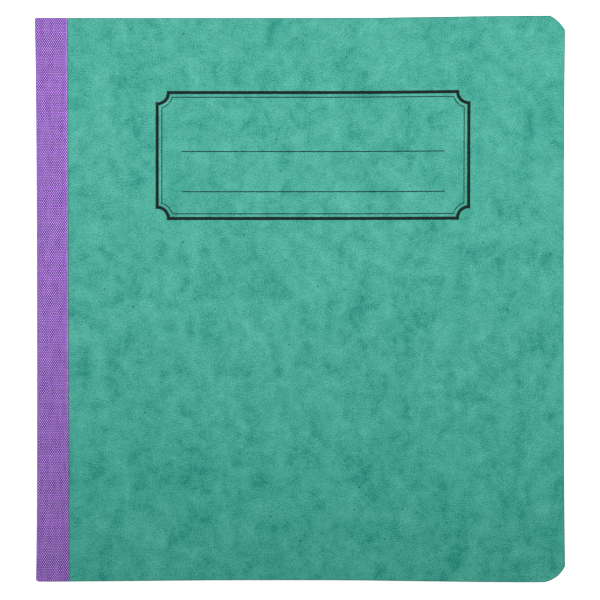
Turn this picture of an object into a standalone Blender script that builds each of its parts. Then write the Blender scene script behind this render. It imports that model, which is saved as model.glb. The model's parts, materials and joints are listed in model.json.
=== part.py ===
"""A thin cash book: two pressboard covers and forty leaves, stapled through the side and taped in cloth.

Metres, +Z up. The closed book lies on its back cover with its front cover up. +X runs from the spine to
the fore-edge and +Y from the tail to the head, and the origin is under the middle of the book.

The staples clamp a margin along the spine. Each cover card and each leaf is creased at the edge of that
margin, where the cloth tape ends, so a card or leaf is modelled as a fixed margin and a turning panel.
"""

import math

import bmesh
import bpy

# Driving dimensions
BOOK_HEIGHT = 0.210
BOOK_WIDTH = 0.1965
CORNER_LEG = 0.0065
CORNER_RADIUS = 0.0115

LEAF_COUNT = 40
LEAF_THICKNESS = 0.00010
LEAF_GAP = 0.00002
CARD_THICKNESS = 0.00050

TAPE_WIDTH = 0.012
TAPE_THICKNESS = 0.00025
TAPE_FOLD_RADIUS = 0.0006
GLUE_GAP = 0.00002
CREASE_GAP = 0.00015

STAPLE_COUNT = 3
STAPLE_INSET = 0.0055
STAPLE_END_MARGIN = 0.030
STAPLE_CROWN = 0.012
STAPLE_CLINCH = 0.004
STAPLE_BEND_RADIUS = 0.0006
WIRE_DIAMETER = 0.0004
WIRE_CLEARANCE = 0.00005

# Smoothness of the round stretches
CORNER_STEPS = 8
FOLD_STEPS = 6
BEND_STEPS = 4
HOLE_SIDES = 12

# Places along X
SPINE_X = -BOOK_WIDTH / 2
FORE_X = BOOK_WIDTH / 2
CREASE_X = SPINE_X + TAPE_WIDTH
PANEL_X = CREASE_X + CREASE_GAP
FOLD_INNER_RADIUS = TAPE_FOLD_RADIUS - TAPE_THICKNESS
BLOCK_X = SPINE_X + TAPE_THICKNESS + GLUE_GAP
CARD_X = BLOCK_X + FOLD_INNER_RADIUS
STAPLE_X = SPINE_X + STAPLE_INSET

# Levels from the table up, through the closed book
BACK_CARD_Z = TAPE_THICKNESS + GLUE_GAP
BLOCK_Z = BACK_CARD_Z + CARD_THICKNESS + LEAF_GAP
LEAF_PITCH = LEAF_THICKNESS + LEAF_GAP
BLOCK_TOP_Z = BLOCK_Z + LEAF_COUNT * LEAF_PITCH - LEAF_GAP
FRONT_CARD_Z = BLOCK_TOP_Z + LEAF_GAP
FRONT_CARD_TOP_Z = FRONT_CARD_Z + CARD_THICKNESS
BOOK_TOP_Z = FRONT_CARD_TOP_Z + GLUE_GAP + TAPE_THICKNESS


def start_scene():
    """Empties the scene and returns the collections for the book's parts and for the cutters."""
    for old in list(bpy.data.objects):
        bpy.data.objects.remove(old, do_unlink=True)
    collections = []
    for name in ("cash_book", "cutters"):
        collection = bpy.data.collections.new(name)
        bpy.context.scene.collection.children.link(collection)
        collections.append(collection)
    return collections


PARTS, CUTTERS = start_scene()


def finish_material(name, colour, roughness, metallic=0.0):
    """A Principled material in one colour."""
    material = bpy.data.materials.new(name)
    material.use_nodes = True
    shader = material.node_tree.nodes["Principled BSDF"]
    shader.inputs["Base Color"].default_value = (*colour, 1.0)
    shader.inputs["Roughness"].default_value = roughness
    shader.inputs["Metallic"].default_value = metallic
    return material


PRESSBOARD = finish_material("green_pressboard", (0.075, 0.402, 0.315), 0.55)
CLOTH = finish_material("purple_cloth", (0.305, 0.156, 0.523), 0.85)
PAPER = finish_material("ledger_paper", (0.83, 0.82, 0.77), 0.80)
STEEL = finish_material("staple_steel", (0.62, 0.62, 0.60), 0.35, 1.0)


def add_part(name, data, material, location=(0.0, 0.0, 0.0), parent=None):
    """Puts mesh or curve data into the book as a named part, placed in world coordinates."""
    part = bpy.data.objects.new(name, data)
    part.data.materials.append(material)
    PARTS.objects.link(part)
    part.location = location
    if parent is not None:
        part.parent = parent
        part.location = part.location - parent.location
    return part


def add_axis(name, location):
    """An empty on a crease line, which carries the pieces that turn about it."""
    axis = bpy.data.objects.new(name, None)
    axis.location = location
    axis.empty_display_size = TAPE_WIDTH
    PARTS.objects.link(axis)
    return axis


def outline_curve(name, points, thickness):
    """A filled flat outline through the points, in its own XY plane, with the thickness about that plane."""
    curve = bpy.data.curves.new(name, "CURVE")
    curve.dimensions = "2D"
    curve.fill_mode = "BOTH"
    curve.extrude = thickness / 2
    spline = curve.splines.new("POLY")
    spline.points.add(len(points) - 1)
    for point, (x, y) in zip(spline.points, points):
        point.co = (x, y, 0.0, 1.0)
    spline.use_cyclic_u = True
    return curve


def arc_points(centre, radius, start, end, steps):
    """Points on a circle from one angle to another, both ends included."""
    turns = [start + (end - start) * step / steps for step in range(steps + 1)]
    return [(centre[0] + radius * math.cos(a), centre[1] + radius * math.sin(a)) for a in turns]


def panel_points():
    """The outline of a turning panel: square at the crease, with die-cut round corners at the fore-edge.

    Each corner arc runs between points one leg from the corner, so its centre lies where
    inset^2 + (inset - leg)^2 = radius^2.
    """
    inset = (CORNER_LEG + math.sqrt(2 * CORNER_RADIUS**2 - CORNER_LEG**2)) / 2
    kink = math.atan2(inset - CORNER_LEG, inset)
    head = BOOK_HEIGHT / 2
    centre = (FORE_X - inset, head - inset)
    corner = arc_points(centre, CORNER_RADIUS, kink, math.pi / 2 - kink, CORNER_STEPS)
    lower_corner = [(x, -y) for x, y in reversed(corner)]
    return [(PANEL_X, -head), *lower_corner, *corner, (PANEL_X, head)]


def panel(name, bottom_z, thickness, material, axis):
    """A cover or leaf beyond the crease, with its underside at bottom_z, carried by its crease line."""
    curve = outline_curve(name, panel_points(), thickness)
    return add_part(name, curve, material, (0.0, 0.0, bottom_z + thickness / 2), axis)


def box_mesh(name, low, high):
    """A closed box between two corners."""
    mesh = bpy.data.meshes.new(name)
    shape = bmesh.new()
    bmesh.ops.create_cube(shape, size=1.0)
    size = [b - a for a, b in zip(low, high)]
    middle = [(a + b) / 2 for a, b in zip(low, high)]
    bmesh.ops.scale(shape, vec=size, verts=shape.verts)
    bmesh.ops.translate(shape, vec=middle, verts=shape.verts)
    shape.to_mesh(mesh)
    shape.free()
    return mesh


def margin(name, left_x, low_z, high_z, material):
    """A clamped strip of card or leaves, from the spine to the crease."""
    low = (left_x, -BOOK_HEIGHT / 2, low_z)
    high = (CREASE_X, BOOK_HEIGHT / 2, high_z)
    return add_part(name, box_mesh(name, low, high), material)


def spine_tape():
    """The cloth tape, folded round the spine in a U and glued over both card margins."""
    outer_x = SPINE_X + TAPE_FOLD_RADIUS
    upper = (outer_x, BOOK_TOP_Z - TAPE_FOLD_RADIUS)
    lower = (outer_x, TAPE_FOLD_RADIUS)
    quarter = math.pi / 2
    outside = (
        [(CREASE_X, BOOK_TOP_Z)]
        + arc_points(upper, TAPE_FOLD_RADIUS, quarter, 2 * quarter, FOLD_STEPS)
        + arc_points(lower, TAPE_FOLD_RADIUS, 2 * quarter, 3 * quarter, FOLD_STEPS)
        + [(CREASE_X, 0.0)]
    )
    inside = (
        [(CREASE_X, TAPE_THICKNESS)]
        + arc_points(lower, FOLD_INNER_RADIUS, 3 * quarter, 2 * quarter, FOLD_STEPS)
        + arc_points(upper, FOLD_INNER_RADIUS, 2 * quarter, quarter, FOLD_STEPS)
        + [(CREASE_X, BOOK_TOP_Z - TAPE_THICKNESS)]
    )
    tape = add_part("spine_tape", outline_curve("spine_tape", outside + inside, BOOK_HEIGHT), CLOTH)
    tape.rotation_euler = (math.pi / 2, 0.0, 0.0)
    return tape


def staple_path():
    """One staple in its own YZ plane: a crown in the front card, two legs, and ends clinched inwards."""
    leg = STAPLE_CROWN / 2
    front = FRONT_CARD_TOP_Z - WIRE_DIAMETER / 2
    back = BACK_CARD_Z + WIRE_DIAMETER / 2
    bend = STAPLE_BEND_RADIUS
    quarter = math.pi / 2
    half = (
        [(0.0, front)]
        + arc_points((leg - bend, front - bend), bend, quarter, 0.0, BEND_STEPS)
        + arc_points((leg - bend, back + bend), bend, 0.0, -quarter, BEND_STEPS)
        + [(leg - STAPLE_CLINCH, back)]
    )
    other_half = [(-y, z) for y, z in reversed(half[1:])]
    return other_half + half


def staple(name, middle_y):
    """A staple of round wire, standing across the margin at one place along the spine."""
    points = staple_path()
    curve = bpy.data.curves.new(name, "CURVE")
    curve.dimensions = "3D"
    curve.bevel_depth = WIRE_DIAMETER / 2
    curve.bevel_resolution = 2
    curve.use_fill_caps = True
    spline = curve.splines.new("POLY")
    spline.points.add(len(points) - 1)
    for point, (y, z) in zip(spline.points, points):
        point.co = (0.0, y, z, 1.0)
    return add_part(name, curve, STEEL, (STAPLE_X, middle_y, 0.0))


def cutter(name, mesh):
    """A hidden wire-frame body that only cuts."""
    body = bpy.data.objects.new(name, mesh)
    body.display_type = "WIRE"
    body.hide_render = True
    CUTTERS.objects.link(body)
    return body


def wire_slot(name, middle_y, low_z, high_z):
    """A slot along the spine for a staple's crown or clinched ends."""
    half_width = WIRE_DIAMETER / 2 + WIRE_CLEARANCE
    half_length = STAPLE_CROWN / 2 + half_width
    low = (STAPLE_X - half_width, middle_y - half_length, low_z)
    high = (STAPLE_X + half_width, middle_y + half_length, high_z)
    return cutter(name, box_mesh(name, low, high))


def leg_hole(name, y):
    """A round hole for one staple leg, through the whole margin."""
    mesh = bpy.data.meshes.new(name)
    shape = bmesh.new()
    radius = (WIRE_DIAMETER / 2 + WIRE_CLEARANCE) / math.cos(math.pi / HOLE_SIDES)
    bmesh.ops.create_cone(shape, cap_ends=True, segments=HOLE_SIDES, radius1=radius, radius2=radius,
                          depth=2 * BOOK_TOP_Z)
    bmesh.ops.translate(shape, vec=(STAPLE_X, y, BOOK_TOP_Z / 2), verts=shape.verts)
    shape.to_mesh(mesh)
    shape.free()
    return cutter(name, mesh)


def pierce(parts, cutters):
    """Cuts every cutter out of every part."""
    for part in parts:
        for tool in cutters:
            cut = part.modifiers.new(tool.name, "BOOLEAN")
            cut.operation = "DIFFERENCE"
            cut.object = tool


def staple_places():
    """The middles of the staples along the spine, evenly spread between the two end margins."""
    reach = BOOK_HEIGHT / 2 - STAPLE_END_MARGIN
    step = 2 * reach / (STAPLE_COUNT - 1)
    return [-reach + step * index for index in range(STAPLE_COUNT)]


def bind_margin():
    """The fixed spine: both card margins, the block of leaf margins, the staples and the tape over them."""
    front = margin("front_cover_margin", CARD_X, FRONT_CARD_Z, FRONT_CARD_TOP_Z, PRESSBOARD)
    block = margin("leaf_margin_block", BLOCK_X, BLOCK_Z, BLOCK_TOP_Z, PAPER)
    back = margin("back_cover_margin", CARD_X, BACK_CARD_Z, BACK_CARD_Z + CARD_THICKNESS, PRESSBOARD)
    slot_depth = WIRE_DIAMETER + WIRE_CLEARANCE
    leg_offset = STAPLE_CROWN / 2
    for number, y in enumerate(staple_places(), start=1):
        staple(f"staple_{number}", y)
        crown = wire_slot(f"crown_slot_{number}", y, FRONT_CARD_TOP_Z - slot_depth, 2 * BOOK_TOP_Z)
        clinch = wire_slot(f"clinch_slot_{number}", y, -BOOK_TOP_Z, BACK_CARD_Z + slot_depth)
        legs = [leg_hole(f"leg_hole_{number}_{side}", y + sign * leg_offset)
                for side, sign in (("tail", -1), ("head", 1))]
        pierce((front, block), (crown,))
        pierce((back, block), (clinch,))
        pierce((front, block, back), legs)
    spine_tape()


def hang_covers_and_leaves():
    """The turning panels: the front cover and every leaf on the upper crease, the back cover on the lower."""
    front_axis = add_axis("front_crease", (CREASE_X, 0.0, BOOK_TOP_Z))
    back_axis = add_axis("back_crease", (CREASE_X, 0.0, 0.0))
    panel("front_cover", FRONT_CARD_Z, CARD_THICKNESS, PRESSBOARD, front_axis)
    panel("back_cover", BACK_CARD_Z, CARD_THICKNESS, PRESSBOARD, back_axis)
    for number in range(1, LEAF_COUNT + 1):
        bottom_z = BLOCK_Z + (LEAF_COUNT - number) * LEAF_PITCH
        panel(f"leaf_{number:02d}", bottom_z, LEAF_THICKNESS, PAPER, front_axis)


bind_margin()
hang_covers_and_leaves()
bpy.context.view_layer.update()
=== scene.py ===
# %% [markdown]
# # A stapled cash book with a cloth spine
#
# The object is a thin account book that lies flat on a table: two covers of mottled green
# pressboard, forty ruled leaves between them, and a strip of purple cloth folded round the
# spine. The rigid model with its joints comes from CAD. Here it is dressed: every sheet gets
# its real edge, its print and its surface. The first thing to do is to load the imported model.

# %% Load the imported model
import json

import bpy
import numpy as np
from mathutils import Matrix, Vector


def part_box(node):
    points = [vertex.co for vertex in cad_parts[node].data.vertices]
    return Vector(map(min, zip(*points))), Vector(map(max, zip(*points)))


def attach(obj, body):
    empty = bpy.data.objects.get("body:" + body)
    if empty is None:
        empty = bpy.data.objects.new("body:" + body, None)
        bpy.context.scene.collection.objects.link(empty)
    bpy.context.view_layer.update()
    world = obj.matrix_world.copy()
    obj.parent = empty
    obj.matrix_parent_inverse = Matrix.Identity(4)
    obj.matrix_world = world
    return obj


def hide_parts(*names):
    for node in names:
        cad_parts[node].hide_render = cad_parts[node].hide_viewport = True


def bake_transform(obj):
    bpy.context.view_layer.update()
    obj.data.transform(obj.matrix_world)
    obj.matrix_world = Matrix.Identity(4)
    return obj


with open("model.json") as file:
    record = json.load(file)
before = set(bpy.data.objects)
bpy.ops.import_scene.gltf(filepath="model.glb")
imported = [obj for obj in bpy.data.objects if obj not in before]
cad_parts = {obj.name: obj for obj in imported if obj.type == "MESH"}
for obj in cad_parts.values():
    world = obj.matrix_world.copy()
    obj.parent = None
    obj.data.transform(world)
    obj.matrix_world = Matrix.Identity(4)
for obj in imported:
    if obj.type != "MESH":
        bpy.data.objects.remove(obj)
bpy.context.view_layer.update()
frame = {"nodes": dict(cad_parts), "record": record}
MM = 0.001

# %% [markdown]
# ## Measures taken from the model
#
# Sizes could be typed in again, but then they would drift away from the model when it changes.
# Each level and edge is read from the box of the node that it belongs to instead. The crease is
# the line beside the cloth where the covers and the leaves start to turn.

# %% Read levels and edges
tape_low, tape_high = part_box("spine_tape")
card_low, card_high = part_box("front_cover")
back_low, back_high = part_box("back_cover")
MARGIN_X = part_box("leaf_margin_block")[0].x
SPINE_X, CREASE_X = tape_low.x, tape_high.x
FORE_X = card_high.x
HALF_HEIGHT = card_high.y
BOOK_TOP_Z = tape_high.z
LEAF_NAMES = sorted(name for name in frame["nodes"]
                    if name.startswith("leaf_") and name[-1].isdigit())
LEAF_COUNT = len(LEAF_NAMES)
print("leaves", LEAF_COUNT, "crease at", round(CREASE_X / MM, 2), "mm")

# %% [markdown]
# ## Camera
#
# The book was photographed from straight above, filling the frame. A long lens from over a
# metre away keeps the sides of the book out of sight, as they are in such a picture. The lens
# follows from the width that the frame has to cover at the level of the front cover.

# %% Place the camera
FRAME_WIDTH = 223.2 * MM
CAMERA_HEIGHT = 1.25
CAMERA_X, CAMERA_Y = -0.15 * MM, -0.30 * MM
SENSOR = 36.0
camera_data = bpy.data.cameras.new("camera_above")
camera_data.sensor_width = SENSOR
camera_data.lens = SENSOR * CAMERA_HEIGHT / FRAME_WIDTH
camera = bpy.data.objects.new("camera_above", camera_data)
camera.location = (CAMERA_X, CAMERA_Y, CAMERA_HEIGHT + BOOK_TOP_Z)
bpy.context.scene.collection.objects.link(camera)
bpy.context.scene.camera = camera
print("lens", round(camera_data.lens, 1), "mm")

# %% [markdown]
# ## Nodes without the noise
#
# A node material is a small circuit, and building it line by line hides what it does. A few
# short helpers are enough. The first makes a node and feeds its sockets, and the next ones use
# it: for arithmetic, to ease a value between two limits, to mix two colours, for noise and to
# stretch a pattern. The last two start a material and turn screen colours into linear ones.

# %% Helpers for materials
def node(tree, kind, feeds=None, **settings):
    """One shader node. A fed socket is linked to another node's output or set to a constant."""
    made = tree.nodes.new("ShaderNode" + kind)
    for name, value in settings.items():
        setattr(made, name, value)
    for socket, value in (feeds or {}).items():
        if isinstance(value, bpy.types.NodeSocket):
            tree.links.new(value, made.inputs[socket])
        else:
            made.inputs[socket].default_value = value
    return made


def calc(tree, operation, *terms):
    """The output of one Math node, such as ADD, MULTIPLY or COMPARE, on two or three terms."""
    return node(tree, "Math", dict(enumerate(terms)), operation=operation).outputs[0]


def eased(tree, value, low, high, to_low=0.0, to_high=1.0):
    """value carried smoothly from to_low at low to to_high at high, and held outside them."""
    feeds = {"Value": value, "From Min": low, "From Max": high, "To Min": to_low, "To Max": to_high}
    return node(tree, "MapRange", feeds, interpolation_type="SMOOTHSTEP").outputs["Result"]


def mixed(tree, share, first, second):
    """Two colours mixed: first where share is 0, second where it is 1."""
    feeds = {0: share, 6: first, 7: second}
    return node(tree, "Mix", feeds, data_type="RGBA").outputs[2]


def clouds(tree, where, scale, detail=2.0, roughness=0.5, distortion=0.0):
    """Fractal noise from 0 to 1; scale is the number of lumps in a metre."""
    feeds = {"Vector": where, "Scale": scale, "Detail": detail,
             "Roughness": roughness, "Distortion": distortion}
    return node(tree, "TexNoise", feeds).outputs["Fac"]


def stretched(tree, where, scale, turn=0.0):
    """Coordinates turned by an angle about the sheet's normal and then scaled on each axis."""
    turned = node(tree, "Mapping", {"Vector": where, "Rotation": (0, 0, turn)}).outputs[0]
    return node(tree, "Mapping", {"Vector": turned, "Scale": scale}).outputs[0]


def new_finish(name):
    """A material with its node tree and its Principled shader."""
    finish = bpy.data.materials.new(name)
    finish.use_nodes = True
    return finish, finish.node_tree, finish.node_tree.nodes["Principled BSDF"]


def paint(level):
    """A colour written as 0 to 255 screen levels, turned into the linear values nodes use."""
    share = np.asarray(level, float) / 255
    linear = np.where(share <= 0.04045, share / 12.92, ((share + 0.055) / 1.055) ** 2.4)
    return (*[float(value) for value in linear], 1.0)


print("mid grey is", round(paint((119, 119, 119))[0], 3))

# %% [markdown]
# ## Light, floor and background
#
# The photograph has a plain white ground and soft light that is a little stronger at the head
# of the book. One long soft lamp above the head gives that slope, because light falls off with
# distance. A lamp from above leaves the sides of a flat thing dark, so the world is bright near
# the horizon, like a ring of white cards, and dim overhead. The floor is a white surface that
# camera rays see nearly full bright: the ground is white and the contact shadow still shows.

# %% Light the scene
LAMP_HEIGHT = 0.27
LAMP_Y = 0.090
LAMP_SIZE = (1.4, 0.30)
LAMP_WATTS = 2.48
lamp_data = bpy.data.lights.new("strip_lamp", "AREA")
lamp_data.shape = "RECTANGLE"
lamp_data.size, lamp_data.size_y = LAMP_SIZE
lamp_data.energy = LAMP_WATTS
lamp = bpy.data.objects.new("strip_lamp", lamp_data)
lamp.location = (0, LAMP_Y, LAMP_HEIGHT)
lamp.visible_camera = False
bpy.context.scene.collection.objects.link(lamp)


def looked_at(tree):
    """1 for rays that show the ground itself: straight from the camera, mirrored or let through."""
    rays = node(tree, "LightPath").outputs
    mirrored = calc(tree, "MAXIMUM", rays["Is Glossy Ray"], rays["Is Transmission Ray"])
    return calc(tree, "MAXIMUM", rays["Is Camera Ray"], mirrored)


world = bpy.data.worlds.new("studio")
world.use_nodes = True
bpy.context.scene.world = world
sky = world.node_tree
seen = looked_at(sky)
aim = node(sky, "SeparateXYZ", {0: node(sky, "TexCoord").outputs["Generated"]}).outputs["Z"]
HORIZON_LEVEL = 4.3
ZENITH_LEVEL = 0.02
RING_LOW, RING_HIGH = 0.10, 0.25
fill = eased(sky, aim, RING_LOW, RING_HIGH, HORIZON_LEVEL, ZENITH_LEVEL)
level = node(sky, "Mix", {0: seen, 2: fill, 3: 1.0}).outputs[0]
sky.nodes["Background"].inputs["Color"].default_value = (1, 1, 1, 1)
sky.links.new(level, sky.nodes["Background"].inputs["Strength"])
bpy.context.scene.view_settings.view_transform = "Standard"
print("lamp", LAMP_WATTS, "W, horizon", HORIZON_LEVEL)

# %% Lay the floor
FLOOR_GLOW = 0.86
FLOOR_REACH = 6.0
FLOOR_DROP = 0.31 * MM
floor_finish, tree, shader = new_finish("white_floor")
shader.inputs["Base Color"].default_value = (0.8, 0.8, 0.8, 1)
shader.inputs["Roughness"].default_value = 0.9
shader.inputs["Specular IOR Level"].default_value = 0.0
glow = node(tree, "Emission", {"Strength": FLOOR_GLOW})
both = node(tree, "AddShader", {0: shader.outputs[0], 1: glow.outputs[0]})
choice = node(tree, "MixShader", {0: looked_at(tree), 1: shader.outputs[0], 2: both.outputs[0]})
tree.links.new(choice.outputs[0], tree.nodes["Material Output"].inputs["Surface"])
floor_mesh = bpy.data.meshes.new("floor")
corner = np.array([(-1, -1, 0), (1, -1, 0), (1, 1, 0), (-1, 1, 0)]) * FLOOR_REACH
floor_mesh.from_pydata(corner - (0, 0, FLOOR_DROP), [], [(0, 1, 2, 3)])
floor_mesh.materials.append(floor_finish)
floor = bpy.data.objects.new("floor", floor_mesh)
bpy.context.scene.collection.objects.link(floor)
print("floor reaches", FLOOR_REACH, "m")

# %% [markdown]
# ## How the book was trimmed
#
# A book block is cut with its covers on, so every sheet shares one outline. The fore-edge
# corners are then nipped off with a round cutter. No hand-fed guillotine leaves a perfect
# rectangle, and this one is out by some tenths of a millimetre: the head rises towards the
# fore-edge and the long sides are slightly hollow. One function bends every piece alike, so
# nothing sticks out from under the cover.

# %% The outline
CUTTER_LEG = 6.5 * MM
HEAD_CORNER = (5.6 * MM, 5.35 * MM, 17.0 * MM)
TAIL_CORNER = (7.6 * MM, 6.0 * MM, 10.1 * MM)
TAPE_WIDTH = CREASE_X - SPINE_X
FORE_BOW = (-0.23, 0.40, 0.20)
SPINE_BOW = (-0.12, 0.225, 0.34, 0.28)
WORN_HEAD, WORN_TAIL = 0.40 * MM, 0.95 * MM
HEAD_RISE = (-0.30, 0.85)
TAIL_RISE = (-0.42, 0.52, 0.73)


def corner_fall(x, corner):
    """How far the edge has dropped at x, for a corner given as two legs and a radius. An arc of
    that radius is drawn between the ends of two equal legs, then stretched to the two legs."""
    along, up, radius = corner
    inset = (CUTTER_LEG + np.sqrt(2 * radius**2 - CUTTER_LEG**2)) / 2
    share = np.clip((x - FORE_X + along) / along, 0, 1)
    across = inset - CUTTER_LEG + share * CUTTER_LEG
    return (inset - np.sqrt(radius**2 - across**2)) * up / CUTTER_LEG


def half_height(x, at_head):
    """Half the height of a trimmed sheet at x: the full half less the corner of that end."""
    return HALF_HEIGHT - np.where(at_head, corner_fall(x, HEAD_CORNER), corner_fall(x, TAIL_CORNER))


def corner_columns(count):
    """x of the columns along the cut corners. A sine crowds them towards the fore-edge, and one
    more stands where the shorter corner begins."""
    share = np.sin(np.linspace(0, 0.5 * np.pi, count))[1:]
    run = FORE_X - TAIL_CORNER[0] + share * TAIL_CORNER[0]
    return np.sort(np.append(run, FORE_X - HEAD_CORNER[0]))


def smooth(share):
    """0 to 1 with flat ends: 3s^2 - 2s^3."""
    share = np.clip(share, 0, 1)
    return share * share * (3 - 2 * share)


def out_of_square(points):
    """Bends rest points to the trimmed outline. The fore-edge and the spine follow a sum of powers
    of the height, in mm, so they are hollow and flare at the ends. The spine's two corners are
    worn round by a quarter arc, and head and tail lift by smooth steps across."""
    x, y, z = points[..., 0], points[..., 1], points[..., 2]
    along = y / HALF_HEIGHT
    over = x / FORE_X
    fore = np.clip(over, 0, 1) * (FORE_BOW[0] + FORE_BOW[1] * along**2 + FORE_BOW[2] * along**6) * MM
    flat, lean, bow, flare = SPINE_BOW
    hollow = (flat + lean * along + bow * along**2 + flare * along**6) * MM
    worn = np.where(along < 0, WORN_TAIL, WORN_HEAD)
    left = np.clip(HALF_HEIGHT - np.abs(y), 0, worn)
    worn_in = worn - np.sqrt(worn**2 - (worn - left) ** 2)
    spine = np.clip((CREASE_X - x) / TAPE_WIDTH, 0, 1) * (worn_in - hollow)
    head = (HEAD_RISE[0] + HEAD_RISE[1] * smooth((over - 0.12) / 0.85)) * MM
    to_spine, to_fore = smooth((-0.15 - over) / 0.85), smooth((over - 0.05) / 0.8)
    tail = (TAIL_RISE[0] + TAIL_RISE[1] * to_spine + TAIL_RISE[2] * to_fore) * MM
    up = np.where(along > 0, along * head, along * tail)
    return np.stack([x + fore + spine, y + up, z], axis=-1)


print("corner drop at the fore-edge", round(float(corner_fall(FORE_X, TAIL_CORNER)) / MM, 2), "mm")

# %% [markdown]
# ## A thin plate from two grids
#
# Covers and leaves are all thin plates. A plate could be a scaled cube with a bevel, but a
# grid is better here: its columns can crowd together where the sheet bends at the crease and
# where the corner is cut. Each column is a flat closed loop that runs up the front and down
# the back, and the loops are joined side by side, which leaves two ends to close.

# %% Build a plate
PUFF = 0.045


def lifted(points):
    """Loose leaves never lie dead flat: heights grow by a few percent towards the fore-edge."""
    x, y = points[..., 0], points[..., 1]
    rise = smooth((x - CREASE_X) / (FORE_X - CREASE_X))
    wave = 1 + 0.25 * np.sin(y * 31 + 0.6) + 0.12 * np.sin(y * 73 + x * 40)
    bulge = 1 + PUFF * rise * wave
    return np.stack([x, y, points[..., 2] * bulge], axis=-1)


def plate(columns, shares, insets, low, high, ease=0.0):
    """Points of a plate as loops (column, place in loop, xyz). A row lies at a share of the half
    height of its column, less an inset from the edge, and the rim is rounded by a quarter arc."""
    x = np.asarray(columns, float)[:, None]
    half = half_height(x, shares > 0)
    y = shares * half - np.sign(shares) * insets
    from_rim = np.minimum(half - np.abs(y), FORE_X - x)
    short = np.clip(ease - from_rim, 0, ease)
    drop = ease - np.sqrt(np.maximum(ease**2 - short**2, 0))
    x = np.broadcast_to(x, y.shape)
    front = np.stack([x, y, high - drop], axis=-1)
    back = np.stack([x, y, low + drop], axis=-1)[:, ::-1]
    return np.concatenate([front, back], axis=1)


def plate_faces(loops):
    """Quads round and along the loops, then the two ends closed from the front row to the back
    row, and for every quad whether it is on the back."""
    columns, size = loops.shape[:2]
    rows = size // 2
    at = np.arange(columns * size).reshape(columns, size)
    here, there = at[:-1], at[1:]
    sides = np.stack([here, there, np.roll(there, -1, 1), np.roll(here, -1, 1)], axis=-1)
    place = np.broadcast_to(np.arange(size), sides.shape[:2])
    on_back = (place >= rows) & (place < size - 1)
    step = np.arange(rows - 1)
    close = np.stack([step, step + 1, size - 2 - step, size - 1 - step], axis=-1)
    ends = np.concatenate([close, close[:, ::-1] + (columns - 1) * size])
    faces = np.concatenate([sides.reshape(-1, 4), ends])
    return faces, np.concatenate([on_back.ravel(), np.zeros(len(ends), bool)])


def make_piece(name, points, faces, finish, smooth_shaded=True, ends=()):
    """A mesh object at the origin from arrays of points and quads, and end faces of any size."""
    mesh = bpy.data.meshes.new(name)
    mesh.from_pydata(points.reshape(-1, 3), [], faces.tolist() + [end.tolist() for end in ends])
    mesh.polygons.foreach_set("use_smooth", np.full(len(mesh.polygons), smooth_shaded))
    mesh.materials.append(finish)
    mesh.update()
    piece = bpy.data.objects.new(name, mesh)
    bpy.context.scene.collection.objects.link(piece)
    return piece


def lay_flat(piece, places):
    """Writes the UV map laid_flat: one place in metres for each corner of each face."""
    layer = piece.data.uv_layers.new(name="laid_flat")
    layer.data.foreach_set("uv", np.asarray(places, np.float32).ravel())


def sheet_places(loops, faces, on_back, turned=0.0):
    """Places on the sheet in metres. The back is read as a page of its own: when turned is set,
    its places run from the fore-edge inwards, and it is moved a metre away from the front."""
    flat = loops.reshape(-1, 3)[faces][..., :2].copy()
    back = flat[on_back]
    back[..., 0] = (turned - back[..., 0] if turned else back[..., 0]) + 1.0
    flat[on_back] = back
    return flat


print("helpers for plates are ready")

# %% [markdown]
# ## Pressboard
#
# Pressboard is made from long fibres in several wet layers, dyed in the pulp and pressed
# between rollers. Clumps of fibre take up more dye, and that gives the cloudy mottle. One
# noise would look like smoke, so it is built up from several: wide clouds and patches, drawn
# out along the height of the book as the fibres are, small blotches, a fine grain, and fibres
# that cross at two angles. Rare dark specks are the cells of a Voronoi pattern that pass a
# threshold. The chance comes from the blue of the cell's colour, because its red and green
# follow the cell's place and the specks would fall in line. The cut rim is darker, and a thin
# line of painted shadow beside the cloth, in the speck colour, stands for the shadow that the
# raised cloth casts on the card. The print is worked into the same material, because ink has
# no thickness: a plain ruled panel to write on, with a notched thick and thin border.

# %% Mix the pressboard finish
CARD_PALE = paint((105, 204, 183))
CARD_DEEP = paint((0, 133, 117))
# Dark specks in the card; the same colour paints the shadow line beside the cloth.
CARD_SPECK_AND_SHADOW = paint((8, 54, 50))
CARD_RIM = paint((36, 116, 102))
INK = paint((6, 8, 9))
PANEL_CENTRE = (4.7 * MM, 53.6 * MM)
PANEL_HALF = (58 * MM, 23.5 * MM)
PANEL_NOTCH = 4.2 * MM
TAPE_EDGE_X = CREASE_X - 0.24 * MM
TAPE_EDGE_LEAN = -0.28 / 105
PANEL_MARGIN = 9 * MM
PANEL_RULES = (1.5 * MM, -13.5 * MM)
INK_SHAKE = 0.22 * MM
CLOUDS_PER_METRE, CLOUD_SHARE, CLOUD_STRETCH = 50.0, 0.23, (1.45, 0.78, 1)
PATCHES_PER_METRE, PATCH_SHARE, PATCH_STRETCH = 120.0, 0.34, (1.16, 0.82, 1)
BLOTCHES_PER_METRE, BLOTCH_SHARE = 240.0, 0.35
MOTTLE_MIDDLE = (1 - CLOUD_SHARE - PATCH_SHARE - BLOTCH_SHARE) / 2
MOTTLE_GAIN = 1.80
GRAIN_GAIN = 2.4
FIBRE_GAIN = 0.75
SPECKS_PER_METRE = 130.0
SPECK_CHANCE = 0.80
SPECK_GROWTH = 0.19


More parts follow.
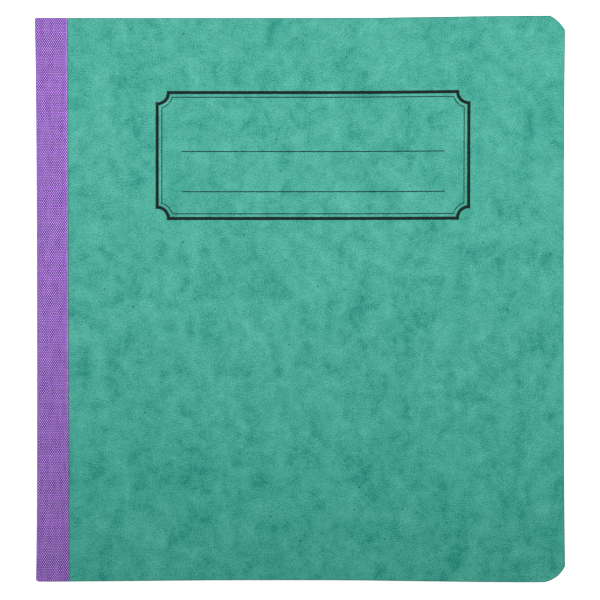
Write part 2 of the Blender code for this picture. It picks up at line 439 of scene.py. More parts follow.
def panel_ink(tree, where):
    """1 where the writing panel is inked. The border is a rectangle less a circle at each corner,
    drawn from its signed distance, with two plain rules inside. Noise shakes the ink's edge."""
    rough = node(tree, "TexNoise", {"Vector": where, "Scale": 2600.0, "Detail": 2.0})
    shake = node(tree, "VectorMath", {0: rough.outputs["Color"], 1: (0.5, 0.5, 0.5)},
                 operation="SUBTRACT").outputs[0]
    shift = node(tree, "VectorMath", {0: shake, "Scale": INK_SHAKE}, operation="SCALE").outputs[0]
    spot = node(tree, "VectorMath", {0: where, 1: shift}, operation="ADD").outputs[0]
    local = node(tree, "VectorMath", {0: spot, 1: (*PANEL_CENTRE, 0)}, operation="SUBTRACT")
    away = node(tree, "VectorMath", {0: local.outputs[0]}, operation="ABSOLUTE").outputs[0]
    past = node(tree, "VectorMath", {0: away, 1: (*PANEL_HALF, 0)}, operation="SUBTRACT")
    side = node(tree, "SeparateXYZ", {0: past.outputs[0]}).outputs
    flat = node(tree, "CombineXYZ", {0: side["X"], 1: side["Y"]}).outputs[0]
    reach = node(tree, "VectorMath", {0: flat}, operation="LENGTH").outputs["Value"]
    notch = calc(tree, "SUBTRACT", PANEL_NOTCH, reach)
    edge = calc(tree, "MAXIMUM", calc(tree, "MAXIMUM", side["X"], side["Y"]), notch)
    ink = calc(tree, "COMPARE", edge, 0.0, 0.60 * MM)
    ink = calc(tree, "MAXIMUM", ink, calc(tree, "COMPARE", edge, -1.75 * MM, 0.17 * MM))
    spot = node(tree, "SeparateXYZ", {0: local.outputs[0]}).outputs
    inside = calc(tree, "COMPARE", spot["X"], 0.0, PANEL_HALF[0] - PANEL_MARGIN)
    for level in PANEL_RULES:
        rule = calc(tree, "COMPARE", spot["Y"], level, 0.18 * MM)
        ink = calc(tree, "MAXIMUM", ink, calc(tree, "MULTIPLY", rule, inside))
    return ink


def mix_card(name, printed):
    """Pressboard on the laid_flat map, with the writing panel where printed is set."""
    finish, tree, shader = new_finish(name)
    where = node(tree, "UVMap", uv_map="laid_flat").outputs[0]
    wide = clouds(tree, stretched(tree, where, CLOUD_STRETCH), CLOUDS_PER_METRE, 3.0, 0.55, 0.6)
    patch = clouds(tree, stretched(tree, where, PATCH_STRETCH), PATCHES_PER_METRE, 3.0, 0.6, 0.5)
    small = clouds(tree, where, BLOTCHES_PER_METRE, 4.0, 0.62, 0.4)
    grain = clouds(tree, where, 2300.0, 3.0, 0.75)
    fibre = clouds(tree, stretched(tree, where, (650, 3000, 1), 0.5), 1.0, 2.0, 0.6, 0.8)
    cross = clouds(tree, stretched(tree, where, (3000, 650, 1), 0.35), 1.0, 2.0, 0.6, 0.8)
    fibres = calc(tree, "MAXIMUM", fibre, cross)
    mass = calc(tree, "MULTIPLY_ADD", wide, CLOUD_SHARE, MOTTLE_MIDDLE)
    mass = calc(tree, "MULTIPLY_ADD", patch, PATCH_SHARE, mass)
    mass = calc(tree, "MULTIPLY_ADD", small, BLOTCH_SHARE, mass)
    tone = calc(tree, "MULTIPLY_ADD", calc(tree, "SUBTRACT", mass, 0.5), MOTTLE_GAIN,
                eased(tree, mass, 0.50, 0.72, 0.59, 0.69))
    tone = calc(tree, "MULTIPLY_ADD", calc(tree, "SUBTRACT", grain, 0.5), GRAIN_GAIN, tone)
    tone = calc(tree, "MULTIPLY_ADD", calc(tree, "SUBTRACT", fibres, 0.55), FIBRE_GAIN, tone)
    colour = mixed(tree, tone, CARD_PALE, CARD_DEEP)
    fleck = node(tree, "TexVoronoi", {"Vector": where, "Scale": SPECKS_PER_METRE},
                 voronoi_dimensions="2D")
    chance = node(tree, "SeparateColor", {0: fleck.outputs["Color"]}).outputs["Blue"]
    reach = calc(tree, "MULTIPLY", calc(tree, "SUBTRACT", chance, SPECK_CHANCE), SPECK_GROWTH)
    speck = calc(tree, "LESS_THAN", fleck.outputs["Distance"], reach)
    colour = mixed(tree, calc(tree, "MULTIPLY", speck, 0.9), colour, CARD_SPECK_AND_SHADOW)
    rim = node(tree, "Attribute", attribute_name="from_rim").outputs["Fac"]
    colour = mixed(tree, eased(tree, rim, 0.0, 0.50, 0.85, 0.0), colour, CARD_RIM)
    # Painted shadow: a thin dark line on the card just beside the cloth's edge, for the shadow that
    # the raised cloth casts.
    side = node(tree, "SeparateXYZ", {0: where}).outputs
    lean = calc(tree, "MULTIPLY_ADD", side["Y"], TAPE_EDGE_LEAN, TAPE_EDGE_X)
    beside = calc(tree, "SUBTRACT", side["X"], lean)
    painted_cloth_shadow = eased(tree, beside, 0.10 * MM, 0.36 * MM, 0.95, 0.0)
    colour = mixed(tree, painted_cloth_shadow, colour, CARD_SPECK_AND_SHADOW)
    dull = eased(tree, fibres, 0.3, 0.8, 0.22, 0.34)
    if printed:
        ink = panel_ink(tree, where)
        worn = eased(tree, grain, 0.30, 0.75, 1.0, 0.94)
        colour = mixed(tree, calc(tree, "MULTIPLY", ink, worn), colour, INK)
        dull = calc(tree, "MULTIPLY_ADD", ink, 0.40, dull)
    tree.links.new(colour, shader.inputs["Base Color"])
    tree.links.new(dull, shader.inputs["Roughness"])
    height = calc(tree, "MULTIPLY", grain, 0.6)
    height = calc(tree, "ADD", height, calc(tree, "MULTIPLY", fibres, 0.4))
    bump = node(tree, "Bump", {"Strength": 0.35, "Distance": 0.05 * MM, "Height": height})
    tree.links.new(bump.outputs[0], shader.inputs["Normal"])
    shader.inputs["Specular IOR Level"].default_value = 0.12
    return finish


front_finish = mix_card("green_pressboard_printed", True)
card_finish = mix_card("green_pressboard", False)
print("card nodes", len(front_finish.node_tree.nodes))

# %% [markdown]
# ## The covers
#
# Each cover is one plate of pressboard. Its columns start just under the cloth, crowd together
# over the crease, where the card rolls when it is opened, and crowd again along
# the cut corners. Rows close to the rim carry the rounded cut edge and let the distance from
# the rim be stored exactly, for the darker rim in the finish.

# %% Cut the covers
CARD_TUCK = 0.80 * MM
CARD_ROLL = 1.8 * MM
RIM_EASE = 0.14 * MM
RIM_STEPS = np.array([0.0, 0.04, 0.14, 0.35, 0.75, 2.0]) * MM


def cover_columns(start):
    """x of the columns: the roll at the crease, the wide middle, the corner, the rim."""
    roll = np.linspace(start, CREASE_X + CARD_ROLL, 15)
    middle = np.linspace(CREASE_X + CARD_ROLL, FORE_X - TAIL_CORNER[0], 40)[1:]
    corner = corner_columns(18)
    corner = corner[corner < FORE_X - 1.02 * RIM_STEPS[-1]]
    return np.concatenate([roll, middle, corner, FORE_X - RIM_STEPS[::-1]])


def cover_rows():
    """Shares of the half height and insets: the rim's steps at tail and head, even rows between."""
    middle = np.linspace(-0.965, 0.965, 46)
    edge = np.ones(len(RIM_STEPS))
    shares = np.concatenate([-edge, middle, edge])
    return shares, np.concatenate([RIM_STEPS, 0 * middle, RIM_STEPS[::-1]])


def store(piece, name, values):
    """Keeps one number for each vertex as a named attribute."""
    kept = piece.data.attributes.new(name, "FLOAT", "POINT")
    kept.data.foreach_set("value", np.asarray(values, np.float32).ravel())


def cut_cover(name, low, high, finish):
    """A cover between two levels, with its places and its distance from the rim in mm."""
    loops = plate(cover_columns(CREASE_X - CARD_TUCK), *cover_rows(), low, high, RIM_EASE)
    faces, on_back = plate_faces(loops)
    x, y = loops[..., 0], loops[..., 1]
    to_end = half_height(x, y > 0) - np.abs(y)
    piece = make_piece(name, out_of_square(lifted(loops)), faces, finish)
    lay_flat(piece, sheet_places(loops, faces, on_back))
    store(piece, "from_rim", np.minimum(to_end, FORE_X - x) / MM)
    return piece


front_cover = cut_cover("front_cover_card", card_low.z, card_high.z, front_finish)
back_cover = cut_cover("back_cover_card", back_low.z, back_high.z, card_finish)
print("cover faces", len(front_cover.data.polygons))

# %% [markdown]
# ## Ruled paper
#
# The leaves are plain ledger paper: pale blue feint lines across, a double head line, and red
# and blue rules for date, particulars and three money columns. The rules could be drawn as
# thin strips, but ink lies in the paper, so they are computed in the material from the place
# on the page. Each back page has its own places, so that its columns read from left to right.

# %% Mix the paper finish
PAPER = paint((243, 240, 229))
PAPER_WARM = paint((231, 225, 208))
FEINT_BLUE = paint((158, 186, 208))
RULE_BLUE = paint((96, 132, 178))
RULE_RED = paint((204, 92, 98))
PAGE_WIDTH = FORE_X - CREASE_X
FEINT_PITCH = 7.0 * MM
FEINT_WIDTH = 0.16 * MM
HEAD_LINE = HALF_HEIGHT - 28 * MM
HEAD_TWIN = HEAD_LINE + 0.8 * MM
HEAD_TOP = HEAD_LINE + 12 * MM
RED_HALF, BLUE_HALF = 0.13 * MM, 0.09 * MM
RED_RULES = (24, 118, 140, 162)
BLUE_RULES = (36, 108, 133.5, 155.5, 177.5)


def any_line(tree, value, places, half_width):
    """1 where value lies within half_width of one of the places."""
    lines = [calc(tree, "COMPARE", value, float(place), half_width) for place in places]
    found = lines[0]
    for line in lines[1:]:
        found = calc(tree, "MAXIMUM", found, line)
    return found


def mix_paper():
    """Ledger paper on the laid_flat map, where a back page starts one metre along."""
    finish, tree, shader = new_finish("ruled_ledger_paper")
    where = node(tree, "UVMap", uv_map="laid_flat").outputs[0]
    side = node(tree, "SeparateXYZ", {0: where}).outputs
    across = calc(tree, "FRACT", side["X"])
    down = side["Y"]
    pulp = clouds(tree, where, 900.0, 4.0, 0.65)
    cloudy = clouds(tree, where, 40.0, 2.0)
    tone = calc(tree, "ADD", eased(tree, pulp, 0.3, 0.75, 0.0, 0.35),
                eased(tree, cloudy, 0.35, 0.7, 0.0, 0.25))
    colour = mixed(tree, tone, PAPER, PAPER_WARM)
    step = calc(tree, "DIVIDE", calc(tree, "SUBTRACT", HEAD_LINE, down), FEINT_PITCH)
    feint = calc(tree, "COMPARE", calc(tree, "FRACT", step), 0.5, 0.5 * FEINT_WIDTH / FEINT_PITCH)
    ruled = calc(tree, "LESS_THAN", down, HEAD_LINE - 0.4 * FEINT_PITCH)
    feint = calc(tree, "MULTIPLY", feint, ruled)
    colour = mixed(tree, calc(tree, "MULTIPLY", feint, 0.85), colour, FEINT_BLUE)
    below = calc(tree, "LESS_THAN", down, HEAD_TOP)
    blue = any_line(tree, across, [place * MM for place in BLUE_RULES], BLUE_HALF)
    colour = mixed(tree, calc(tree, "MULTIPLY", blue, below), colour, RULE_BLUE)
    red = any_line(tree, across, [place * MM for place in RED_RULES], RED_HALF)
    colour = mixed(tree, calc(tree, "MULTIPLY", red, below), colour, RULE_RED)
    head = any_line(tree, down, [HEAD_LINE, HEAD_TWIN, HEAD_TOP], RED_HALF)
    colour = mixed(tree, head, colour, RULE_RED)
    tree.links.new(colour, shader.inputs["Base Color"])
    bump = node(tree, "Bump", {"Strength": 0.2, "Distance": 0.02 * MM, "Height": pulp})
    tree.links.new(bump.outputs[0], shader.inputs["Normal"])
    tree.links.new(eased(tree, pulp, 0.3, 0.75, 0.72, 0.85), shader.inputs["Roughness"])
    shader.inputs["Specular IOR Level"].default_value = 0.25
    return finish


def mix_cut_edge():
    """The cut edge of a leaf: warmer than its face and streaked from leaf to leaf."""
    finish, tree, shader = new_finish("cut_paper_edge")
    where = node(tree, "TexCoord").outputs["Object"]
    streak = clouds(tree, stretched(tree, where, (90, 90, 9000)), 1.0, 3.0, 0.7)
    soil = clouds(tree, where, 55.0, 3.0)
    tone = calc(tree, "ADD", eased(tree, streak, 0.3, 0.72, 0.0, 0.75),
                eased(tree, soil, 0.4, 0.7, 0.0, 0.25))
    tree.links.new(mixed(tree, tone, paint((250, 247, 238)), paint((222, 214, 196))),
                   shader.inputs["Base Color"])
    shader.inputs["Roughness"].default_value = 0.85
    shader.inputs["Specular IOR Level"].default_value = 0.2
    return finish


paper_finish = mix_paper()
edge_finish = mix_cut_edge()
print("page", round(PAGE_WIDTH / MM, 1), "mm wide, feint every", FEINT_PITCH / MM, "mm")

# %% [markdown]
# ## Forty leaves
#
# Every leaf is its own thin plate in its own slot of the stack. Its columns crowd in the
# gutter, where the paper has to roll. After trimming, the leaves shift a little against each
# other, and that is what makes a fore-edge look like paper: each one gets a small seeded
# shift and its own thickness within its slot.

# %% Lay the leaves
GUTTER_ROLL = 5.0 * MM
shuffle = np.random.default_rng(7)
leaf_shift = shuffle.uniform(-0.16, 0.05, LEAF_COUNT) * MM
leaf_slide = shuffle.uniform(-0.07, 0.07, LEAF_COUNT) * MM
leaf_thin = shuffle.uniform(0.0, 0.03, LEAF_COUNT) * MM


def leaf_columns():
    """x of the columns: the roll in the gutter, the wide middle, the cut corner."""
    roll = CREASE_X + np.linspace(0, GUTTER_ROLL, 11)
    middle = np.linspace(CREASE_X + GUTTER_ROLL, FORE_X - TAIL_CORNER[0], 9)[1:]
    return np.concatenate([roll, middle, corner_columns(9)])


def lay_leaf(count):
    """Leaf number count: a plate as thick as its node less a hair, shifted within the stack."""
    low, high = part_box(LEAF_NAMES[count])
    shares = np.linspace(-1, 1, 10)
    loops = plate(leaf_columns(), shares, 0 * shares, low.z, high.z - leaf_thin[count])
    faces, on_back = plate_faces(loops)
    along = (loops[..., 0] - CREASE_X) / PAGE_WIDTH
    shift = np.stack([along * leaf_shift[count], along * leaf_slide[count], 0 * along], axis=-1)
    points = out_of_square(lifted(loops + shift))
    piece = make_piece("ledger_" + LEAF_NAMES[count], points, faces, paper_finish)
    places = sheet_places(loops, faces, on_back, FORE_X)
    places[~on_back, :, 0] -= CREASE_X
    lay_flat(piece, places)
    piece.data.materials.append(edge_finish)
    upright = np.abs(np.ptp(loops.reshape(-1, 3)[faces][..., 2], axis=1)) > 0
    piece.data.polygons.foreach_set("material_index", upright.astype(np.int32))
    piece.data.polygons.foreach_set("use_smooth", ~upright)
    return piece


leaves = [lay_leaf(count) for count in range(LEAF_COUNT)]
print("leaves", len(leaves), "with", len(leaves[0].data.polygons), "faces each")

# %% [markdown]
# ## The stapled margin
#
# Beside the spine the leaves don't turn: they are held by staples under the cloth. Only the
# ends of this margin show, at head and tail, as a stack of cut edges between two strips of
# pressboard. The stack is forty flat boxes in one mesh, made by repeating one box over the
# levels of the leaves, with less air between them because the staples clamp them. The strips
# are short plates like the covers.

# %% Stack the margin
BOX = np.array([(x, y, z) for x in (0, 1) for y in (-1, 1) for z in (0, 1)], float)
BOX_FACES = np.array([(0, 1, 3, 2), (4, 6, 7, 5), (0, 4, 5, 1),
                      (2, 3, 7, 6), (0, 2, 6, 4), (1, 5, 7, 3)])
CLAMPED = 0.3


def stack_margin():
    """Forty boxes: unit corners times the margin's width, half height and each leaf's own slot."""
    slots = [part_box(name) for name in LEAF_NAMES]
    low = np.array([slot[0].z for slot in slots])
    high = np.array([slot[1].z for slot in slots]) - CLAMPED * leaf_thin
    x = MARGIN_X + BOX[:, 0] * (CREASE_X - MARGIN_X)
    y = BOX[:, 1] * HALF_HEIGHT
    z = low[:, None] + BOX[:, 2] * (high - low)[:, None]
    points = np.stack([np.broadcast_to(x, z.shape), np.broadcast_to(y, z.shape), z], axis=-1)
    faces = (BOX_FACES + len(BOX) * np.arange(LEAF_COUNT)[:, None, None]).reshape(-1, 4)
    return make_piece("leaf_margin_stack", out_of_square(points), faces, edge_finish, False)


def cut_strip(name, node_name, finish):
    """The strip of pressboard under the cloth, from the spine to where the cover's card begins."""
    low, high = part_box(node_name)
    columns = np.linspace(low.x, CREASE_X - CARD_TUCK, 6)
    shares = np.linspace(-1, 1, 9)
    loops = plate(columns, shares, 0 * shares, low.z, high.z)
    faces, on_back = plate_faces(loops)
    piece = make_piece(name, out_of_square(loops), faces, finish, False)
    lay_flat(piece, sheet_places(loops, faces, on_back))
    store(piece, "from_rim", np.full(loops.shape[:2], 1.0))
    return piece


margin_stack = stack_margin()
front_strip = cut_strip("front_margin_strip", "front_cover_margin", card_finish)
back_strip = cut_strip("back_margin_strip", "back_cover_margin", card_finish)
print("margin stack faces", len(margin_stack.data.polygons))

# %% [markdown]
# ## Book cloth
#
# The spine is covered with a strip of book cloth, a plain weave: each thread goes over one and
# under the next. Its relief could be left to bump mapping, but cloth this close to the camera
# earns real crossings. The strip is a profile carried along the spine: across it there is one
# column for each long thread, along it two rows for each cross thread, and every crossing is
# pushed up or down by turns. Threads also wander a little from their line, or the weave would
# look printed. The inside lies on the card and stays smooth.

# %% Weave the cloth
WARP_PITCH = 0.39 * MM
WEFT_PITCH = 0.61 * MM
CLOTH_THICK = tape_high.z - card_high.z - 0.03 * MM
FOLD_RADIUS = 0.85 * MM
RELIEF = 0.040 * MM
WANDER_ACROSS = 0.10 * MM
WANDER_ALONG = 0.03 * MM
FLAP = CREASE_X - SPINE_X - FOLD_RADIUS
QUARTER = 0.5 * np.pi * FOLD_RADIUS
WALL = BOOK_TOP_Z - 2 * FOLD_RADIUS
FOLD_ENDS = np.cumsum([0, FLAP, QUARTER, WALL, QUARTER, FLAP])
CLOTH_WIDTH = float(FOLD_ENDS[-1])
WARP_COUNT = int(round(CLOTH_WIDTH / WARP_PITCH))
WEFT_COUNT = int(round(2 * HALF_HEIGHT / WEFT_PITCH))


def fold_path(share, inset):
    """The U-shaped section: along the front to the fold, a quarter turn, down the spine, a
    quarter turn and back along the rear. share runs from 0 to 1 by length along the outside,
    and inset moves the line towards the inside. Gives x and z."""
    run = share * FOLD_ENDS[-1]
    first = np.clip((run - FOLD_ENDS[1]) / QUARTER, 0, 1)
    second = np.clip((run - FOLD_ENDS[3]) / QUARTER, 0, 1)
    angle = 0.5 * np.pi * (1 + first + second)
    front, rear = np.clip(FOLD_ENDS[1] - run, 0, None), np.clip(run - FOLD_ENDS[4], 0, None)
    centre_x = SPINE_X + FOLD_RADIUS + front + rear
    centre_z = BOOK_TOP_Z - FOLD_RADIUS - np.clip(run - FOLD_ENDS[2], 0, WALL)
    reach = FOLD_RADIUS - inset
    return centre_x + reach * np.cos(angle), centre_z + reach * np.sin(angle)


def slant(points):
    """The edge of the cloth leans a little: points near the crease move across with height."""
    near = np.clip((points[..., 0] - SPINE_X) / TAPE_WIDTH, 0, 1)
    shift = near * (TAPE_EDGE_X - CREASE_X + TAPE_EDGE_LEAN * points[..., 1])
    return points + np.stack([shift, 0 * shift, 0 * shift], axis=-1)


def wander(thread, row):
    """Threads are never dead straight. Across and along, each shift is a sum of two sine waves
    whose phase drifts from thread to thread, and it fades out towards the four edges."""
    held_across = smooth(np.minimum(thread, WARP_COUNT - thread) / 5)
    held_along = smooth(np.minimum(row, row[-1] - row) / 8)
    held = held_across * held_along
    wave = np.sin(0.13 * row + 0.35 * thread) + 0.7 * np.sin(0.345 * row - 0.22 * thread + 1.3)
    ripple = np.sin(0.35 * thread + 0.11 * row) + 0.7 * np.sin(0.82 * thread - 0.07 * row + 0.4)
    return WANDER_ACROSS * held * wave, WANDER_ALONG * held * ripple


def weave_cloth():
    """Outside: path pushed in by the relief, which is (-1)^thread times the cosine of the half
    turn that a long thread makes over each cross thread. Inside: a plain path at full depth.
    The two are joined along the edges by quads and at the ends by one face each."""
    thread = np.arange(WARP_COUNT + 1)
    row = np.arange(2 * WEFT_COUNT + 1)
    y = (row / row[-1] * 2 - 1) * HALF_HEIGHT
    lift = (-1.0) ** thread * np.cos(0.5 * np.pi * row)[:, None]
    sideways, endways = wander(thread, row[:, None])
    share = thread / WARP_COUNT + sideways / CLOTH_WIDTH
    out_x, out_z = fold_path(share, RELIEF * (1 - lift))
    outer = np.stack([out_x, y[:, None] + endways, out_z], axis=-1)
    fold = np.array([0.0, 0.12, 0.25, 0.365, 0.385, 0.40, 0.415, 0.43])
    inner_share = np.concatenate([fold, 1 - fold[::-1]])
    in_x, in_z = fold_path(inner_share, np.full(len(inner_share), CLOTH_THICK))
    inner = np.stack(np.broadcast_arrays(in_x, y[:, None], in_z), axis=-1)
    return outer, inner


outer, inner = weave_cloth()
across, inside = outer.shape[1], inner.shape[1]
outer_at = np.arange(outer.shape[0] * across).reshape(-1, across)
inner_at = outer_at.size + np.arange(inner.shape[0] * inside).reshape(-1, inside)


def net(at):
    """Quads of a grid of point numbers, turned the way the numbers run."""
    return np.stack([at[:-1, :-1], at[1:, :-1], at[1:, 1:], at[:-1, 1:]], axis=-1).reshape(-1, 4)


edge_front = net(np.stack([inner_at[:, 0], outer_at[:, 0]], axis=1))
edge_rear = net(np.stack([outer_at[:, -1], inner_at[:, -1]], axis=1))
cloth_quads = np.concatenate([net(outer_at), net(inner_at)[:, ::-1], edge_front, edge_rear])
tail_end = np.concatenate([outer_at[0], inner_at[0, ::-1]])
head_end = np.concatenate([outer_at[-1, ::-1], inner_at[-1]])
print("cloth", WARP_COUNT, "by", WEFT_COUNT, "threads,", len(cloth_quads), "quads")

# %% [markdown]
# ## The colour of the cloth
#
# At a crossing either the long or the cross thread is on top. Its colour carries painted shade:
# lighter in the middle and darker where it dives under its neighbour, as light falls on a
# round yarn. The finish works that out from the same thread counts as the relief, so that
# colour and shape agree. The gaps between cross threads get darker painted shade still,
# because little light gets in. Real yarn is never even, so each thread has its own tint and
# a slow slub along its length. The cut edge of the strip is paler where it frays, and a
# painted glint makes it paler still towards the head, under the lamp.

# %% Mix the cloth finish
CLOTH_PALE = paint((214, 170, 249))
CLOTH_MID = paint((124, 42, 184))
CLOTH_DEEP = paint((58, 0, 118))
WARP_LIGHT = 0.80
GAP_PAINTED_SHADE = -0.34
FRAY_AND_GLINT = 0.45


def mix_cloth(name):
    """Plain weave on the laid_flat map: places across and along the strip in metres."""
    finish, tree, shader = new_finish(name)
    where = node(tree, "UVMap", uv_map="laid_flat").outputs[0]
    side = node(tree, "SeparateXYZ", {0: where}).outputs
    warp = calc(tree, "MULTIPLY", side["X"], WARP_COUNT / CLOTH_WIDTH)
    weft = calc(tree, "MULTIPLY", side["Y"], WEFT_COUNT / (2 * HALF_HEIGHT))
    warp_no = calc(tree, "ROUND", warp)
    weft_no = calc(tree, "ROUND", weft)
    warp_turn = calc(tree, "MULTIPLY", calc(tree, "SUBTRACT", warp, warp_no), np.pi)
    weft_turn = calc(tree, "MULTIPLY", calc(tree, "SUBTRACT", weft, weft_no), np.pi)
    warp_round = calc(tree, "COSINE", warp_turn)
    weft_round = calc(tree, "COSINE", weft_turn)
    odd = calc(tree, "FRACT", calc(tree, "MULTIPLY", calc(tree, "ADD", warp_no, weft_no), 0.5))
    over = calc(tree, "MULTIPLY_ADD", odd, -4.0, 1.0)
    warp_top = calc(tree, "MULTIPLY_ADD", calc(tree, "MULTIPLY", over, weft_round), 0.5,
                    calc(tree, "MULTIPLY", warp_round, 0.5))
    weft_top = calc(tree, "MULTIPLY_ADD", calc(tree, "MULTIPLY", over, warp_round), -0.5,
                    calc(tree, "MULTIPLY", weft_round, 0.5))
    top = calc(tree, "MAXIMUM", warp_top, weft_top)
    is_warp = calc(tree, "GREATER_THAN", warp_top, weft_top)
    warp_place = node(tree, "CombineXYZ", {0: calc(tree, "MULTIPLY", warp_no, 7.3),
                                           1: calc(tree, "MULTIPLY", side["Y"], 105.0)}).outputs[0]
    weft_place = node(tree, "CombineXYZ", {0: calc(tree, "MULTIPLY", side["X"], 83.0),
                                           1: calc(tree, "MULTIPLY", weft_no, 5.7)}).outputs[0]
    warp_slub = clouds(tree, warp_place, 1.0, 2.0)
    weft_slub = clouds(tree, weft_place, 1.0, 2.0)
    slub = node(tree, "Mix", {0: is_warp, 2: eased(tree, weft_slub, 0.3, 0.72, -0.26, 0.30),
                              3: eased(tree, warp_slub, 0.3, 0.72, -0.10, 0.18)}).outputs[0]
    fuzz = clouds(tree, where, 6000.0, 2.0)
    # Painted shade: a thread is lighter on its crown and darker where it dives under, as light falls
    # on a round yarn, and the gaps between cross threads get painted shade too.
    light = calc(tree, "MULTIPLY_ADD", is_warp, WARP_LIGHT, eased(tree, top, 0.1, 0.9, -0.18, 0.20))
    light = calc(tree, "ADD", light, eased(tree, weft_round, 0.0, 0.7, GAP_PAINTED_SHADE, 0.0))
    light = calc(tree, "ADD", light, slub)
    # The strip's cut edges are paler where they fray, and a painted glint makes them paler still
    # towards the head, under the lamp.
    near = calc(tree, "MINIMUM", side["X"], calc(tree, "SUBTRACT", CLOTH_WIDTH, side["X"]))
    fray_and_glint = calc(tree, "MULTIPLY", eased(tree, near, 0.15 * MM, 0.55 * MM, FRAY_AND_GLINT, 0.0),
                  eased(tree, side["Y"], 50 * MM, 90 * MM, 0.2, 1.0))
    light = calc(tree, "ADD", light, fray_and_glint)
    light = calc(tree, "ADD", light, eased(tree, fuzz, 0.3, 0.7, -0.06, 0.06))
    colour = mixed(tree, eased(tree, light, 0.0, 0.5), CLOTH_DEEP, CLOTH_MID)
    colour = mixed(tree, eased(tree, light, 0.45, 1.0), colour, CLOTH_PALE)
    tree.links.new(colour, shader.inputs["Base Color"])
    height = calc(tree, "ADD", top, calc(tree, "MULTIPLY", fuzz, 0.25))
    bump = node(tree, "Bump", {"Strength": 0.5, "Distance": 0.06 * MM, "Height": height})
    tree.links.new(bump.outputs[0], shader.inputs["Normal"])
    tree.links.new(eased(tree, top, 0.1, 0.9, 0.95, 0.75), shader.inputs["Roughness"])
    shader.inputs["Specular IOR Level"].default_value = 0.10
    shader.inputs["Sheen Weight"].default_value = 0.05
    shader.inputs["Sheen Roughness"].default_value = 0.5
    shader.inputs["Sheen Tint"].default_value = paint((205, 175, 235))
    return finish


cloth_finish = mix_cloth("purple_book_cloth")
cloth_points = np.concatenate([outer.reshape(-1, 3), inner.reshape(-1, 3)])
spine_cloth = make_piece("spine_cloth", out_of_square(slant(cloth_points)), cloth_quads,
                         cloth_finish, ends=(tail_end, head_end))


def strip_places(grid, u):
    """Places on the strip: u across it for each column, and the height above the tail."""
    return np.stack(np.meshgrid(u, grid[:, 0, 1] + HALF_HEIGHT), axis=-1).reshape(-1, 2)


outer_places = strip_places(outer, np.arange(across) / WARP_COUNT * CLOTH_WIDTH)
inner_places = strip_places(inner, np.linspace(0, CLOTH_WIDTH, inside))
corner_at = np.empty(len(spine_cloth.data.loops), np.int32)
spine_cloth.data.loops.foreach_get("vertex_index", corner_at)
lay_flat(spine_cloth, np.concatenate([outer_places, inner_places])[corner_at])
print("cloth points", len(spine_cloth.data.vertices))

# %% [markdown]
# ## Cut thread ends
#
# Where the strip was slit from its roll, the cross threads end in short stubs of uneven length
# that catch the light. Each is one small tapered box, and all of them are made at once by
# stretching the same eight corners over an array of places and lengths.

# %% Leave the thread ends
STUB_ROOT = 0.30 * MM
STUB_HALF = 0.20 * MM
STUB_LONGEST = 0.32 * MM
STUB_LEVELS = (BOOK_TOP_Z - 0.20 * MM, 0.07 * MM)


def thread_ends():
    """Tapered boxes at the pitch of the cross threads on both long edges of the cloth. The far
    corners reach out by each thread's own length and close in to a third of the width."""
    count = 2 * WEFT_COUNT
    length = shuffle.gamma(2.0, 0.035, count) * MM
    level = np.where(np.arange(count) < WEFT_COUNT, *STUB_LEVELS)
    middle = ((np.arange(count) % WEFT_COUNT + 0.5) / WEFT_COUNT * 2 - 1) * HALF_HEIGHT
    far = BOX[:, 0]
    x = CREASE_X - STUB_ROOT + far * (STUB_ROOT + np.minimum(length, STUB_LONGEST))[:, None]
    y = middle[:, None] + BOX[:, 1] * STUB_HALF * (1 - 0.65 * far)
    z = level[:, None] + (0.13 * BOX[:, 2] + far * (0.03 - 0.06 * BOX[:, 2])) * MM
    faces = BOX_FACES + len(BOX) * np.arange(count)[:, None, None]
    return out_of_square(slant(np.stack([x, y, z], axis=-1))), faces.reshape(-1, 4)


def mix_thread():
    """Loose purple yarn on Object coordinates."""
    finish, tree, shader = new_finish("purple_thread_ends")
    where = node(tree, "TexCoord").outputs["Object"]
    tint = clouds(tree, where, 2500.0, 2.0)
    tree.links.new(mixed(tree, tint, paint((150, 104, 190)), paint((226, 190, 250))),
                   shader.inputs["Base Color"])
    shader.inputs["Roughness"].default_value = 0.9
    return finish


cloth_ends = make_piece("spine_cloth_thread_ends", *thread_ends(), mix_thread())
print("thread ends", len(cloth_ends.data.polygons) // len(BOX_FACES))

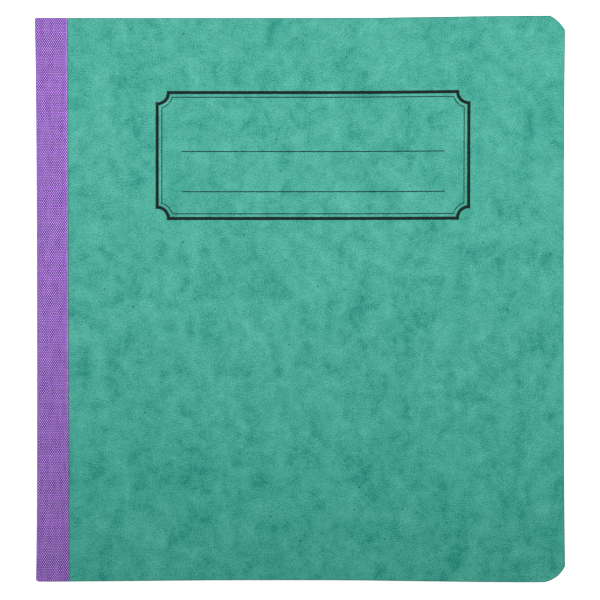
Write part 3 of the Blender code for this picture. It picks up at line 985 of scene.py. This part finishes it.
# %% [markdown]
# ## Staples
#
# The three staples lie under the cloth, so their CAD solids are kept as they are. They get a
# drawn-wire finish: bright steel with fine marks along the wire.

# %% Finish the staples
def mix_wire():
    """Drawn steel wire on Object coordinates, with streaks along the book's height."""
    finish, tree, shader = new_finish("drawn_steel_wire")
    where = node(tree, "TexCoord").outputs["Object"]
    marks = clouds(tree, stretched(tree, where, (9000, 300, 9000)), 1.0, 2.0)
    tree.links.new(mixed(tree, marks, paint((176, 178, 182)), paint((214, 215, 218))),
                   shader.inputs["Base Color"])
    tree.links.new(eased(tree, marks, 0.3, 0.7, 0.24, 0.42), shader.inputs["Roughness"])
    shader.inputs["Metallic"].default_value = 1.0
    return finish


wire_finish = mix_wire()
staples = [frame["nodes"][name] for name in sorted(frame["nodes"]) if name.startswith("staple_")]
for staple in staples:
    staple.data.materials.clear()
    staple.data.materials.append(wire_finish)
print("staples", len(staples))

# %% [markdown]
# ## What moves with what
#
# The cloth, the margin and the staples are the fixed spine of the book. In the model the leaves
# hang in one chain, each on the next one towards the spine. A cover or a leaf that turned as a
# stiff plate would break away at the crease. Here the cloth, its thread ends, the margin strips
# and the stack are hung on their bodies, while each cover and leaf gets its placement baked into
# its mesh and the CAD node that it replaces is hidden.

# %% Hang the pieces on their bodies
bodies = frame["record"]["behaviour"]["bodies"]
body_of = {name: body for body, names in bodies.items() for name in names}


def hinge(piece, node_name):
    """Bakes a sheet's placement into its mesh and hides the CAD node that it replaces."""
    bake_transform(piece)
    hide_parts(node_name)


def fix(piece, node_name):
    """Fixes a piece to the spine in place of a CAD node."""
    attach(piece, body_of[node_name])
    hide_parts(node_name)


hinge(front_cover, "front_cover")
hinge(back_cover, "back_cover")
for name, leaf in zip(LEAF_NAMES, leaves):
    hinge(leaf, name)
fix(front_strip, "front_cover_margin")
fix(back_strip, "back_cover_margin")
fix(margin_stack, "leaf_margin_block")
fix(spine_cloth, "spine_tape")
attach(cloth_ends, "spine")
print("hinged sheets", 2 + len(leaves))
